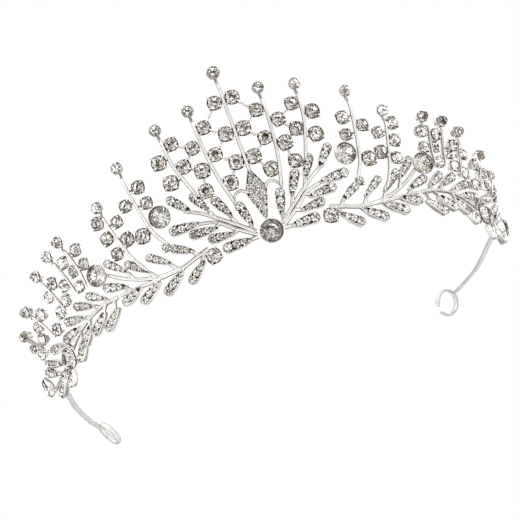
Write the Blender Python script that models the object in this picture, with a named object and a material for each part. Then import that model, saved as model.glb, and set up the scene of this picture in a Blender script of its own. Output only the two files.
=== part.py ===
"""Bridal tiara: a flared band of set stones, leaf sprays and bead-tipped spikes, with two looped arms.

The crown is drawn flat first. A flat position is (along, up, out) in millimetres: along the band from
its middle, up the band, and out from its face. band_point wraps that drawing round the plan curve of
the crown. Negative values of along are the wearer's right, which is the left side seen from the front.
"""
import math

import bmesh
import bpy
from mathutils import Matrix, Vector

MM = 0.001

# The crown's plan curve: heading of the band, in radians, as a cubic in hundreds of millimetres along it
HEADING_TERMS = (0.84, 0.85, -0.20)
FLARE = 0.10                # outward lean of the band, millimetres per millimetre of height
PLAN_STEP = 1.0             # length of the straight steps that add up to the plan curve
REST_TILT = math.radians(14.4)   # lean that brings the lowest leaf tips, front and sides, onto one surface

# Metal
CUP_DEPTH = 2.1             # settings of the small stones
CUP_FRONT = -0.35           # their front rim, just behind the stones' girdles
CUP_TAPER = 0.72            # back radius over front radius
CUP_FILL = 0.80             # front radius over the radius of the stone
BIG_CUP_DEPTH = 3.0
BIG_CUP_WALL = 0.45
TIP_CUP_DEPTH = 1.9
LEAF_FRONT = -0.40
LEAF_BACK = -2.20
WIRE_RADIUS = 0.42
WIRE_OUT = 0.38             # the spikes run in front of the settings and leaves
STEM_RADIUS = 0.50
STEM_OUT = -1.30
BAR_WIDTH = 0.9
BRACKET_RADIUS = 0.45
BAR_OUT = -1.40
SMOOTH_STEP = 3.6           # distance between the points of a smooth stem
WIRE_STEP = 5.0             # and of a spike's wire
SPIKE_RUN = 4.0             # a spike's wire leaves its front path at least this far below the tip,
SPIKE_RUN_SHARE = 0.45      # or this share of its last rise,
SPIKE_DIP = (2.4, -0.9)     # dips behind (below the tip, out),
SPIKE_END = (0.5, -1.6)     # and ends inside the tip's cup
ARM_WIDTH = 1.6
ARM_THICKNESS = 0.8
ARM_STEP = 5.0
LOOP_RADIUS = 3.9
LOOP_SWEEP = math.radians(310.0)
LOOP_STEPS = 14

# Stones
CENTRE_STONE = (0.0, 0.0, 6.8)
CENTRE_OUT = 0.6            # the centre stone stands in front of the band
CENTRE_TIP = (0.0, 47.3, 3.8)
TIP_DIAMETER = 3.4
BIG_DIAMETER = 6.4
CROWN_RATIO = 0.40          # height of a large stone above its girdle, over its radius
TIP_CROWN_RATIO = 1.0       # the tip stones are domed
PAVILION_RATIO = 0.68       # depth below the girdle, over its radius
TABLE_RATIO = 0.56
BIG_STONES = ((27.3, 14.9), (51.0, 8.2), (73.5, -7.0))
END_STONE = (97.0, -7.4)
END_STONE_WIDTH = 4.6
END_STONE_LENGTH = 6.4

# Tips that are bent away from their twin on the other side
BENT_TIPS = {("right", 5): (56.4, 22.0)}

# Lattice of small settings: flat positions with the stone's diameter, and the bars between them
CENTRE_LATTICE = ((2.5, 39.0, 4.0), (7.5, 33.5, 3.9), (2.5, 29.7, 4.2),
                  (7.1, 25.3, 3.9), (2.5, 21.3, 4.2), (5.9, 16.4, 4.3))
SIDE_LATTICE = ((12.3, 29.2, 3.9), (17.2, 32.4, 3.8), (16.2, 25.2, 4.0),
                (11.9, 22.3, 4.3), (12.9, 16.6, 4.0))
SIDE_LATTICE_BARS = ((0, 1), (0, 2), (2, 3), (3, 4))

# Spikes of one side: foot and bends of the wire, then the tip, and the settings that hang on the wire
CENTRE_WIRE = ((0.0, 17.0), (0.0, 24.0), (0.0, 34.0))
SPIKES = (
    {"wire": ((6.9, 11.3), (8.1, 16.5), (9.0, 21.5), (9.6, 28.0)), "tip": (10.0, 39.4), "cups": ()},
    {"wire": ((15.6, 16.0), (17.4, 21.5), (18.9, 27.0)), "tip": (19.9, 37.7),
     "cups": ((22.1, 28.8, 4.2), (21.0, 22.3, 4.3))},
    {"wire": ((28.0, 7.0), (30.3, 11.5), (31.3, 16.0), (32.3, 22.5)), "tip": (33.3, 32.4),
     "cups": ((29.8, 25.0, 3.8), (29.2, 20.0, 3.5), (35.0, 21.7, 3.6), (33.6, 12.0, 4.3))},
    {"wire": ((35.6, 2.4), (38.4, 7.5), (40.2, 13.5), (41.4, 18.5)), "tip": (42.8, 24.9),
     "cups": ((38.9, 18.8, 3.4), (38.0, 13.1, 4.0), (44.4, 20.9, 3.8), (43.5, 15.8, 3.8), (42.4, 10.7, 3.6))},
    {"wire": ((54.9, 6.8), (55.3, 12.5), (56.7, 18.0)), "tip": (58.7, 22.3),
     "cups": ((54.0, 17.6, 3.6), (53.3, 12.9, 3.4), (57.4, 12.7, 3.4))},
    {"wire": ((59.2, 7.0), (60.3, 12.0), (62.0, 17.0)), "tip": (64.3, 20.6),
     "cups": ((59.6, 16.4, 3.6), (62.6, 10.8, 3.5), (57.6, 8.1, 3.4))},
    {"wire": ((65.3, 4.2), (66.9, 9.0), (69.4, 14.4)), "tip": (71.8, 18.0),
     "cups": ((66.6, 13.4, 3.6), (70.2, 10.9, 3.5), (64.1, 7.0, 3.5), (68.2, 5.1, 3.6))},
    {"wire": ((74.4, 0.2), (77.2, 5.0), (81.0, 9.6)), "tip": (85.0, 12.6),
     "cups": ((77.4, 8.5, 3.8), (81.6, 6.4, 3.5), (72.8, 1.8, 3.6))},
    {"wire": ((82.0, -1.0), (86.4, 3.0), (90.5, 6.2)), "tip": (95.0, 8.6),
     "cups": ((82.4, 2.8, 3.6), (86.6, 0.2, 3.6), (91.4, 3.4, 3.2))},
)

# Leaves of one side: base, outer end and width of each
INNER_LEAVES = (((4.2, 3.0), (6.2, 10.9), 3.0), ((8.6, 7.4), (12.2, 14.6), 3.0),
                ((13.8, 11.0), (17.5, 17.6), 2.9), ((18.6, 13.0), (23.8, 19.0), 2.9),
                ((17.4, 9.0), (26.6, 9.9), 3.0), ((13.2, 6.0), (21.8, 6.8), 2.8),
                ((9.6, 2.9), (17.3, 3.8), 2.8), ((5.8, -0.3), (14.4, -0.1), 3.2))
MIDDLE_LEAVES = (((21.6, 2.3), (28.0, 5.9), 2.6), ((28.8, 1.8), (35.2, 6.5), 2.6),
                 ((35.3, 2.0), (41.7, 7.6), 2.6), ((41.5, 4.8), (47.4, 10.6), 2.6),
                 ((20.0, -0.9), (26.2, -5.6), 2.8), ((26.8, -1.4), (33.9, -5.6), 2.9),
                 ((33.8, -1.2), (41.3, -4.9), 2.8), ((39.6, -0.5), (46.8, -2.7), 2.7),
                 ((43.4, 1.5), (50.8, 4.2), 2.8))
OUTER_LEAVES = (((51.4, 1.5), (57.4, 5.0), 2.7), ((55.8, 1.3), (63.0, 4.3), 2.8),
                ((60.5, 0.0), (69.0, 2.0), 2.8), ((64.6, -1.4), (72.6, -2.3), 2.8),
                ((48.6, -2.5), (55.2, -6.9), 2.7), ((53.4, -1.7), (60.2, -5.9), 2.8),
                ((59.8, -2.8), (65.8, -7.0), 2.7), ((63.8, -4.6), (69.8, -9.9), 2.8),
                ((74.2, -2.3), (81.2, -1.8), 2.8), ((77.6, -7.0), (88.2, -3.0), 2.8),
                ((82.4, -8.4), (91.4, -4.6), 2.8), ((75.2, -10.1), (79.6, -13.6), 2.8),
                ((79.2, -9.4), (88.0, -13.6), 2.9))

# Stems of one side
INNER_STEMS = (((3.9, 1.4), (8.6, 5.4), (12.6, 8.6), (16.2, 11.4), (20.6, 13.9)),
               ((3.9, 0.6), (9.6, 4.6), (13.2, 7.6), (18.6, 9.2)), ((12.4, 7.2), (14.8, 6.1)),
               ((8.3, 3.7), (11.0, 3.0)), ((3.9, 0.0), (7.6, -0.3)), ((4.6, 2.0), (4.8, 5.0)),
               ((8.0, 5.2), (9.6, 8.8)), ((13.2, 9.0), (14.6, 12.4)))
MIDDLE_STEMS = (((17.9, 1.7), (22.0, 0.7), (27.0, -0.5), (33.0, -0.2), (38.6, 1.3), (44.0, 4.0), (48.8, 7.4)),
                ((27.0, -0.5), (36.0, -0.5), (46.8, 0.1)), ((21.2, 0.9), (22.8, 3.0)),
                ((28.0, -0.4), (30.2, 2.8)), ((34.6, 0.2), (36.6, 3.1)), ((40.6, 2.2), (42.6, 5.9)),
                ((19.6, 1.2), (21.6, -2.1)), ((26.4, -0.4), (28.4, -2.4)), ((33.6, -0.3), (35.6, -2.1)),
                ((43.0, 0.0), (45.4, 2.2)))
OUTER_STEMS = (((47.9, 0.1), (54.0, 0.1), (60.0, -1.0), (66.0, -3.0), (71.4, -5.6)),
               ((75.6, -8.0), (80.0, -8.8), (86.0, -9.8), (92.0, -10.0), (96.4, -8.4)),
               ((49.2, 0.0), (50.4, -3.7)), ((52.4, 0.1), (55.2, -2.8)), ((50.8, 0.1), (53.4, 2.7)),
               ((59.6, -0.9), (61.2, -3.8)), ((64.8, -2.6), (65.6, -6.2)), ((75.8, -7.2), (79.6, -6.3)),
               ((71.0, -5.0), (72.6, -3.2), (75.4, -2.3)), ((81.4, -9.0), (84.6, -7.6)),
               ((75.6, -8.2), (76.6, -11.2)), ((54.6, 0.1), (57.8, 2.2)), ((59.4, -0.8), (62.8, 0.6)),
               ((63.4, -2.0), (66.8, -1.7)), ((78.2, -8.9), (81.6, -10.6)))
LOW_STONE = (17.2, -0.9, 4.2)
SHOULDER_STONE = (28.6, 6.3, 2.4)

# Arms: the strip's middle line, in the crown's own frame (side, back, up)
ARM_LINES = {
    "right": ((66.2, 44.0, -9.6), (66.4, 54.0, -9.0), (65.8, 62.0, -9.1), (64.9, 69.0, -9.7),
              (63.2, 76.5, -10.5), (60.4, 83.5, -11.2), (56.7, 90.7, -12.0)),
    "left": ((-66.2, 44.0, -9.6), (-66.6, 54.0, -9.0), (-65.9, 63.0, -9.2), (-65.2, 71.5, -10.0),
             (-63.8, 80.6, -10.9), (-61.8, 90.4, -11.9), (-59.3, 99.4, -12.8)),
}

# Loops, in degrees: heading and lean of the ring, where the arm joins it and where its open end is
LOOPS = {"right": (213.0, -20.0, 146.0, -12.0), "left": (99.0, -29.0, 58.0, 100.0)}

SIDES = (("left", -1), ("right", 1))


def clear_scene():
    for existing in list(bpy.data.objects):
        bpy.data.objects.remove(existing, do_unlink=True)


def new_collection(name):
    collection = bpy.data.collections.new(name)
    bpy.context.scene.collection.children.link(collection)
    return collection


def metal(name, colour, roughness):
    material = bpy.data.materials.new(name)
    material.use_nodes = True
    shader = material.node_tree.nodes["Principled BSDF"]
    shader.inputs["Base Color"].default_value = (*colour, 1.0)
    shader.inputs["Metallic"].default_value = 1.0
    shader.inputs["Roughness"].default_value = roughness
    return material


def cut_glass(name, colour):
    material = metal(name, colour, 0.03)
    shader = material.node_tree.nodes["Principled BSDF"]
    shader.inputs["Metallic"].default_value = 0.0
    shader.inputs["Transmission Weight"].default_value = 0.7
    return material


def heading(along):
    """Heading of the band in plan, 0 across the forehead; it turns the other way on the other side."""
    reach = abs(along) / 100.0
    first, second, third = HEADING_TERMS
    turn = first * reach + second * reach ** 2 + third * reach ** 3
    return math.copysign(turn, along)


def plan_point(along):
    """Side and back position of the band's middle line, added up in short straight steps."""
    steps = max(1, round(abs(along) / PLAN_STEP))
    length = abs(along) / steps
    side = 0.0
    back = 0.0
    for step in range(steps):
        turn = abs(heading((step + 0.5) * length))
        side += length * math.cos(turn)
        back += length * math.sin(turn)
    return math.copysign(side, along), back


def outward(along):
    turn = heading(along)
    return Vector((math.sin(turn), -math.cos(turn), -FLARE)).normalized()


def band_point(along, up, out=0.0):
    """The crown's own position, in metres, of a flat position."""
    side, back = plan_point(along)
    turn = heading(along)
    on_band = Vector((side + up * FLARE * math.sin(turn), back - up * FLARE * math.cos(turn), up))
    return (on_band + outward(along) * out) * MM


def band_frame(along, up, out=0.0, turn=0.0):
    """Placement on the band: local X along it, Y up it and Z outwards, then turned about Z."""
    normal = outward(along)
    across = Vector((math.cos(heading(along)), math.sin(heading(along)), 0.0))
    upward = normal.cross(across)
    axes = Matrix((across, upward, normal)).transposed().to_4x4()
    return Matrix.Translation(band_point(along, up, out)) @ axes @ Matrix.Rotation(turn, 4, "Z")


def smooth_line(points, step=SMOOTH_STEP):
    """Points of a smooth curve through the given ones, about one step apart."""
    knots = [Vector(point) for point in points]
    first = knots[0] * 2 - knots[1]
    last = knots[-1] * 2 - knots[-2]
    padded = [first] + knots + [last]
    line = []
    for index in range(len(knots) - 1):
        before, start, end, after = padded[index:index + 4]
        pieces = max(1, round((end - start).length / step))
        for piece in range(pieces):
            part = piece / pieces
            line.append(0.5 * (2 * start + (end - before) * part
                               + (2 * before - 5 * start + 4 * end - after) * part ** 2
                               + (3 * start - before - 3 * end + after) * part ** 3))
    line.append(knots[-1])
    return line


def shell_from_curve(curve):
    """Closed mesh of a curve, with its caps welded on."""
    holder = bpy.data.objects.new("shape", curve)
    bpy.context.scene.collection.objects.link(holder)
    mesh = bpy.data.meshes.new_from_object(holder.evaluated_get(bpy.context.evaluated_depsgraph_get()))
    bpy.data.objects.remove(holder, do_unlink=True)
    shape = bmesh.new()
    shape.from_mesh(mesh)
    bpy.data.meshes.remove(mesh)
    bmesh.ops.remove_doubles(shape, verts=shape.verts, dist=0.00001)
    bmesh.ops.recalc_face_normals(shape, faces=shape.faces)
    return shape


def wire_shell(points, radius, sides_level=1):
    """Round wire through points in metres."""
    curve = bpy.data.curves.new("wire", "CURVE")
    curve.dimensions = "3D"
    curve.bevel_depth = radius * MM
    curve.bevel_resolution = sides_level
    curve.use_fill_caps = True
    spline = curve.splines.new("POLY")
    spline.points.add(len(points) - 1)
    for point, place in zip(spline.points, points):
        point.co = (*place, 1.0)
    return shell_from_curve(curve)


def plate_shell(outline, placement, front, back):
    """Flat plate with the given outline, in millimetres, between two heights above the placement."""
    curve = bpy.data.curves.new("plate", "CURVE")
    curve.dimensions = "2D"
    curve.fill_mode = "BOTH"
    curve.extrude = (front - back) / 2 * MM
    spline = curve.splines.new("POLY")
    spline.points.add(len(outline) - 1)
    spline.use_cyclic_u = True
    for point, (across, along) in zip(spline.points, outline):
        point.co = (across * MM, along * MM, 0.0, 1.0)
    shape = shell_from_curve(curve)
    middle = Matrix.Translation((0.0, 0.0, (front + back) / 2 * MM))
    bmesh.ops.transform(shape, matrix=placement @ middle, verts=shape.verts)
    return shape


def cup_shell(placement, front_radius, depth, front, segments=6):
    """Solid tapered setting whose rim is at the height called front."""
    shape = bmesh.new()
    middle = Matrix.Translation((0.0, 0.0, (front - depth / 2) * MM))
    bmesh.ops.create_cone(shape, cap_ends=True, segments=segments, radius1=front_radius * CUP_TAPER * MM,
                          radius2=front_radius * MM, depth=depth * MM, matrix=placement @ middle)
    return shape


def sink_face(shape, direction, wall, depth):
    """Inset the face that looks along direction and draw its middle in, as a conical seat."""
    shape.normal_update()
    face = max(shape.faces, key=lambda candidate: candidate.normal.dot(direction) * candidate.calc_area())
    if wall:
        bmesh.ops.inset_region(shape, faces=[face], thickness=wall * MM)
    poked = bmesh.ops.poke(shape, faces=[face])
    for vertex in poked["verts"]:
        vertex.co -= direction * depth * MM


def seat_shell(placement, stone_radius, depth, front, segments=8):
    """Hollow conical setting that a stone's pointed back drops into."""
    shape = cup_shell(placement, stone_radius, depth, front, segments)
    direction = placement.to_3x3() @ Vector((0.0, 0.0, 1.0))
    seat_radius = stone_radius - BIG_CUP_WALL / 2
    sink_face(shape, direction, BIG_CUP_WALL / 2, seat_radius * PAVILION_RATIO)
    return shape


def gem_mesh(name, diameter, crown_ratio=CROWN_RATIO, segments=8):
    """Cut stone with its girdle at height 0: a table and crown above, a pointed pavilion below."""
    radius = diameter / 2
    shape = bmesh.new()
    rise = Matrix.Translation((0.0, 0.0, crown_ratio * radius / 2 * MM))
    bmesh.ops.create_cone(shape, cap_ends=True, segments=segments, radius1=radius * MM,
                          radius2=radius * TABLE_RATIO * MM, depth=crown_ratio * radius * MM, matrix=rise)
    sink_face(shape, Vector((0.0, 0.0, -1.0)), 0.0, -PAVILION_RATIO * radius)
    mesh = bpy.data.meshes.new(name)
    shape.to_mesh(mesh)
    shape.free()
    return mesh


def bar_shell(start, end):
    """Short square bar between two flat positions."""
    first = band_point(*start, BAR_OUT)
    second = band_point(*end, BAR_OUT)
    middle = ((start[0] + end[0]) / 2, (start[1] + end[1]) / 2)
    length = (second - first).length
    rise = math.atan2(end[1] - start[1], end[0] - start[0])
    placement = band_frame(*middle, BAR_OUT, rise)
    placement.translation = (first + second) / 2
    shape = bmesh.new()
    bmesh.ops.create_cube(shape, size=1.0)
    bmesh.ops.scale(shape, vec=(length, BAR_WIDTH * MM, BAR_WIDTH * MM), verts=shape.verts)
    bmesh.ops.transform(shape, matrix=placement, verts=shape.verts)
    return shape


def leaf_outline(length, width):
    """Leaf from a narrow base at the origin to a round outer end, along local Y."""
    half = width / 2
    right = [(0.3, 0.0), (half * 0.8, length * 0.35), (half, length - half)]
    cap = [(half * math.cos(turn), length - half + half * math.sin(turn))
           for turn in (math.radians(45), math.radians(90), math.radians(135))]
    left = [(-across, along) for across, along in reversed(right)]
    return right + cap + left


def leaf_shell(base, end, width, side):
    run = (end[0] - base[0], end[1] - base[1])
    length = math.hypot(*run)
    turn = math.atan2(-run[0] * side, run[1])
    middle = ((base[0] + end[0]) / 2, (base[1] + end[1]) / 2)
    placement = band_frame(middle[0] * side, middle[1], 0.0, turn)
    placement = placement @ Matrix.Translation((0.0, -length / 2 * MM, 0.0))
    return plate_shell(leaf_outline(length, width), placement, LEAF_FRONT, LEAF_BACK)


def stem_shell(points, side):
    line = smooth_line([(along, up, 0.0) for along, up in points])
    return wire_shell([band_point(point.x * side, point.y, STEM_OUT) for point in line], STEM_RADIUS, 0)


def small_cup(along, up, diameter):
    return cup_shell(band_frame(along, up), diameter / 2 * CUP_FILL, CUP_DEPTH, CUP_FRONT)


def spike_shells(wire, tip, side, tip_diameter=TIP_DIAMETER):
    """Bowed wire and the conical cup at its top."""
    along, up = tip
    path = [(point[0], point[1], WIRE_OUT) for point in wire]
    reach = max(SPIKE_RUN, (up - wire[-1][1]) * SPIKE_RUN_SHARE)
    last = Vector(wire[-1])
    away = Vector(tip) - last
    near_tip = last + away * max(0.2, 1.0 - reach / away.length)
    path.append((near_tip.x, near_tip.y, WIRE_OUT))
    path.append((along - away.x * 0.12, up - SPIKE_DIP[0], SPIKE_DIP[1]))
    path.append((along, up - SPIKE_END[0], SPIKE_END[1]))
    line = smooth_line(path, WIRE_STEP)
    cup = seat_shell(band_frame(along * side, up), tip_diameter / 2, TIP_CUP_DEPTH, CUP_FRONT)
    return [cup, wire_shell([band_point(p.x * side, p.y, p.z) for p in line], WIRE_RADIUS)]


def wire_place(wire, tip, height):
    """Where along the band a spike's wire passes at a height."""
    points = list(wire) + [tip]
    for low, high in zip(points, points[1:]):
        if low[1] <= height <= high[1]:
            return low[0] + (high[0] - low[0]) * (height - low[1]) / (high[1] - low[1])
    return points[0][0] if height < points[0][1] else tip[0]


def bracket_shell(cup, foot, side):
    """Short post from the back of a setting to the front wire that carries it."""
    start = band_point(cup[0] * side, cup[1], CUP_FRONT - CUP_DEPTH / 2)
    end = band_point(foot * side, cup[1], WIRE_OUT - 0.1)
    return wire_shell([start, end], BRACKET_RADIUS, 0)


def add_piece(name, mesh, material, collection, root, placement=None):
    mesh.materials.clear()
    mesh.materials.append(material)
    piece = bpy.data.objects.new(name, mesh)
    collection.objects.link(piece)
    piece.parent = root
    if placement is not None:
        piece.location = placement.translation
        piece.rotation_euler = placement.to_euler()
    return piece


def mesh_of(name, shells):
    together = bmesh.new()
    for shell in shells:
        part = bpy.data.meshes.new("part")
        shell.to_mesh(part)
        shell.free()
        together.from_mesh(part)
        bpy.data.meshes.remove(part)
    mesh = bpy.data.meshes.new(name)
    together.to_mesh(mesh)
    together.free()
    return mesh


def soldered(name, shells, material, collection, cutters, root):
    """One body from overlapping closed shells."""
    piece = add_piece(name, mesh_of(name, shells[:1]), material, collection, root)
    rest = add_piece(name + "_joined", mesh_of(name + "_joined", shells[1:]), material, cutters, root)
    rest.hide_render = True
    rest.display_type = "WIRE"
    union = piece.modifiers.new("solder", "BOOLEAN")
    union.operation = "UNION"
    union.solver = "EXACT"
    union.use_self = True
    union.object = rest
    return piece


def kite_outline():
    """Lance-shaped centre leaf, widest two thirds of the way up."""
    right = [(0.5, 3.9), (1.9, 8.2), (3.2, 12.4), (1.7, 15.8), (0.4, 18.4)]
    return right + [(-across, up) for across, up in reversed(right)]


def pear_outline(width, length):
    """Drop with a pointed top and a round bottom, centred on the origin."""
    half = width / 2
    low = -length / 2 + half
    turns = [math.radians(180 + 30 * step) for step in range(7)]
    bowl = [(half * math.cos(turn), low + half * math.sin(turn)) for turn in turns]
    return bowl + [(half * 0.62, length * 0.22), (0.0, length / 2), (-half * 0.62, length * 0.22)]


def strip_shell(line, widths):
    """Closed flat strip along points in millimetres, with its width direction at each."""
    shape = bmesh.new()
    rings = []
    for index, (point, width) in enumerate(zip(line, widths)):
        run = line[min(index + 1, len(line) - 1)] - line[max(index - 1, 0)]
        across = width.normalized() * ARM_WIDTH / 2
        rise = run.cross(across).normalized() * ARM_THICKNESS / 2
        corners = (point - across - rise, point + across - rise, point + across + rise, point - across + rise)
        rings.append([shape.verts.new(corner * MM) for corner in corners])
    for low, high in zip(rings, rings[1:]):
        for corner in range(4):
            after = (corner + 1) % 4
            shape.faces.new((low[corner], low[after], high[after], high[corner]))
    shape.faces.new(rings[0])
    shape.faces.new(rings[-1])
    bmesh.ops.recalc_face_normals(shape, faces=shape.faces)
    return shape


def arm_strip(side_name):
    """Middle line of an arm and the strip's width direction at each point, up to its loop."""
    line = smooth_line(ARM_LINES[side_name], ARM_STEP)
    widths = []
    for index in range(len(line)):
        run = line[min(index + 1, len(line) - 1)] - line[max(index - 1, 0)]
        widths.append(run.cross(Vector((0.0, 0.0, 1.0))).normalized())
    return line, widths


def loop_strip(side_name, join):
    """Middle line and width directions of the open ring that passes through the arm's end."""
    turn, lean, joined_at, start = [math.radians(angle) for angle in LOOPS[side_name]]
    ahead = Vector((math.cos(turn), math.sin(turn), 0.0))
    upright = Vector((0.0, 0.0, 1.0))
    upward = upright * math.cos(lean) + ahead.cross(upright) * math.sin(lean)
    centre = join - (ahead * math.cos(joined_at) + upward * math.sin(joined_at)) * LOOP_RADIUS
    line = []
    for step in range(LOOP_STEPS + 1):
        place = start + LOOP_SWEEP * step / LOOP_STEPS
        line.append(centre + (ahead * math.cos(place) + upward * math.sin(place)) * LOOP_RADIUS)
    return line, [ahead.cross(upward)] * len(line)


def make_arm(side_name, metal_parts, material):
    """Strip with its loop soldered on, turning about a hinge at its root."""
    collection, cutters, root = metal_parts
    line, widths = arm_strip(side_name)
    hinge = bpy.data.objects.new(side_name + "_arm_root", None)
    collection.objects.link(hinge)
    hinge.parent = root
    hinge.location = line[0] * MM
    loop, loop_widths = loop_strip(side_name, line[-1])
    shells = [strip_shell([point - line[0] for point in line], widths),
              strip_shell([point - line[0] for point in loop], loop_widths)]
    soldered(side_name + "_arm", shells, material, collection, cutters, hinge)


def make_centre(metal_parts, silver, crystal):
    collection, _, root = metal_parts
    along, up, diameter = CENTRE_STONE
    placement = band_frame(along, up, CENTRE_OUT)
    seat = seat_shell(placement, diameter / 2, BIG_CUP_DEPTH, CUP_FRONT, 12)
    add_piece("centre_setting", mesh_of("centre_setting", [seat]), silver, collection, root)
    stone = gem_mesh("centre_stone", diameter, segments=12)
    add_piece("centre_stone", stone, crystal, collection, root, placement)
    leaf = plate_shell(kite_outline(), band_frame(0.0, 0.0), LEAF_FRONT, LEAF_BACK)
    add_piece("centre_leaf", mesh_of("centre_leaf", [leaf]), silver, collection, root)
    tip_along, tip_up, tip_diameter = CENTRE_TIP
    spike = spike_shells(CENTRE_WIRE, (tip_along, tip_up), 1, tip_diameter)
    soldered("centre_spike", spike, silver, *metal_parts)
    tip_stone = gem_mesh("centre_tip", tip_diameter, TIP_CROWN_RATIO)
    add_piece("centre_tip_stone", tip_stone, crystal, collection, root, band_frame(tip_along, tip_up))


def make_centre_lattice(metal_parts, silver):
    shells = []
    for side_name, side in SIDES:
        for along, up, diameter in CENTRE_LATTICE:
            shells.append(small_cup(along * side, up, diameter))
        for first, second in zip(CENTRE_LATTICE, CENTRE_LATTICE[1:]):
            shells.append(bar_shell((first[0] * side, first[1]), (second[0] * side, second[1])))
    for along, up, diameter in CENTRE_LATTICE:
        if along < 3.0:
            shells.append(bar_shell((-along, up), (along, up)))
    soldered("centre_lattice", shells, silver, *metal_parts)


def make_side_lattice(name, side, metal_parts, silver):
    shells = [small_cup(along * side, up, diameter) for along, up, diameter in SIDE_LATTICE]
    for first, second in SIDE_LATTICE_BARS:
        start = SIDE_LATTICE[first]
        end = SIDE_LATTICE[second]
        shells.append(bar_shell((start[0] * side, start[1]), (end[0] * side, end[1])))
    soldered(name, shells, silver, *metal_parts)


def make_spikes(side_name, side, tip_stone, metal_parts, silver, crystal):
    collection, _, root = metal_parts
    for number, spike in enumerate(SPIKES, start=1):
        tip = BENT_TIPS.get((side_name, number), spike["tip"])
        shells = spike_shells(spike["wire"], tip, side)
        for cup in spike["cups"]:
            shells.append(small_cup(cup[0] * side, cup[1], cup[2]))
            shells.append(bracket_shell(cup, wire_place(spike["wire"], tip, cup[1]), side))
        soldered(f"{side_name}_spike_{number}", shells, silver, *metal_parts)
        add_piece(f"{side_name}_tip_stone_{number}", tip_stone, crystal, collection, root,
                  band_frame(tip[0] * side, tip[1]))


def make_branch(name, leaves, stems, extra, side, metal_parts, silver):
    shells = [leaf_shell(*leaf, side) for leaf in leaves]
    shells += [stem_shell(stem, side) for stem in stems]
    soldered(name, shells + extra, silver, *metal_parts)


def make_branches(side_name, side, metal_parts, silver):
    seats = [seat_shell(band_frame(along * side, up), BIG_DIAMETER / 2, BIG_CUP_DEPTH, CUP_FRONT, 12)
             for along, up in BIG_STONES]
    low = small_cup(LOW_STONE[0] * side, LOW_STONE[1], LOW_STONE[2])
    shoulder = small_cup(SHOULDER_STONE[0] * side, SHOULDER_STONE[1], SHOULDER_STONE[2])
    link = bar_shell((25.8 * side, 9.9), (26.6 * side, 13.0))
    low_link = bar_shell((13.4 * side, -0.2), (16.6 * side, -0.8))
    make_branch(side_name + "_inner_branch", INNER_LEAVES, INNER_STEMS, [seats[0], link, low, low_link],
                side, metal_parts, silver)
    make_branch(side_name + "_middle_branch", MIDDLE_LEAVES, MIDDLE_STEMS, [seats[1], shoulder],
                side, metal_parts, silver)
    frame = band_frame(END_STONE[0] * side, END_STONE[1])
    drop = plate_shell(pear_outline(END_STONE_WIDTH, END_STONE_LENGTH), frame, CUP_FRONT, LEAF_BACK)
    make_branch(side_name + "_outer_branch", OUTER_LEAVES, OUTER_STEMS, [seats[2], drop],
                side, metal_parts, silver)


def make_side_stones(side_name, side, big_stone, collection, root, crystal):
    for number, (along, up) in enumerate(BIG_STONES, start=1):
        add_piece(f"{side_name}_side_stone_{number}", big_stone, crystal, collection, root,
                  band_frame(along * side, up))
    frame = band_frame(END_STONE[0] * side, END_STONE[1])
    outline = pear_outline(END_STONE_WIDTH - 0.3, END_STONE_LENGTH - 0.4)
    drop = plate_shell(outline, frame, 1.5, 0.0)
    add_piece(side_name + "_end_stone", mesh_of(side_name + "_end_stone", [drop]), crystal, collection, root)


def stand_on_origin(root, collection):
    """Move the whole tiara so that the middle of its underside is at the world's origin."""
    bpy.context.view_layer.update()
    graph = bpy.context.evaluated_depsgraph_get()
    corners = []
    for piece in collection.objects:
        if piece.type != "MESH":
            continue
        shown = piece.evaluated_get(graph)
        corners += [shown.matrix_world @ vertex.co for vertex in shown.data.vertices]
    low = [min(corner[axis] for corner in corners) for axis in range(3)]
    high = [max(corner[axis] for corner in corners) for axis in range(3)]
    root.location = (-(low[0] + high[0]) / 2, -(low[1] + high[1]) / 2, -low[2])


def main():
    clear_scene()
    collection = new_collection("bridal_tiara")
    cutters = new_collection("joined_shells")
    root = bpy.data.objects.new("tiara_root", None)
    collection.objects.link(root)
    root.rotation_euler = (REST_TILT, 0.0, 0.0)
    silver = metal("silver_plate", (0.82, 0.81, 0.79), 0.18)
    crystal = cut_glass("crystal", (0.93, 0.94, 0.95))
    tip_stone = gem_mesh("tip_stone", TIP_DIAMETER, TIP_CROWN_RATIO)
    big_stone = gem_mesh("side_stone", BIG_DIAMETER, segments=12)
    metal_parts = (collection, cutters, root)
    make_centre(metal_parts, silver, crystal)
    make_centre_lattice(metal_parts, silver)
    for side_name, side in SIDES:
        make_side_lattice(side_name + "_lattice", side, metal_parts, silver)
        make_spikes(side_name, side, tip_stone, metal_parts, silver, crystal)
        make_branches(side_name, side, metal_parts, silver)
        make_side_stones(side_name, side, big_stone, collection, root, crystal)
        make_arm(side_name, metal_parts, silver)
    stand_on_origin(root, collection)


main()
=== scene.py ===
"""Looks of the bridal tiara: cut stones, paved leaves, claw settings, grooved wires and two looped arms.

A flat position is (along, up, out) in millimetres: along the band from its middle, up the band, and out
from its face. band_point and band_frame wrap it round the crown's plan curve, as the CAD does.
"""
from math import atan2, copysign, cos, hypot, pi, radians, sin, tau
import random

import bmesh
import bpy
from mathutils import Matrix, Vector


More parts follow.
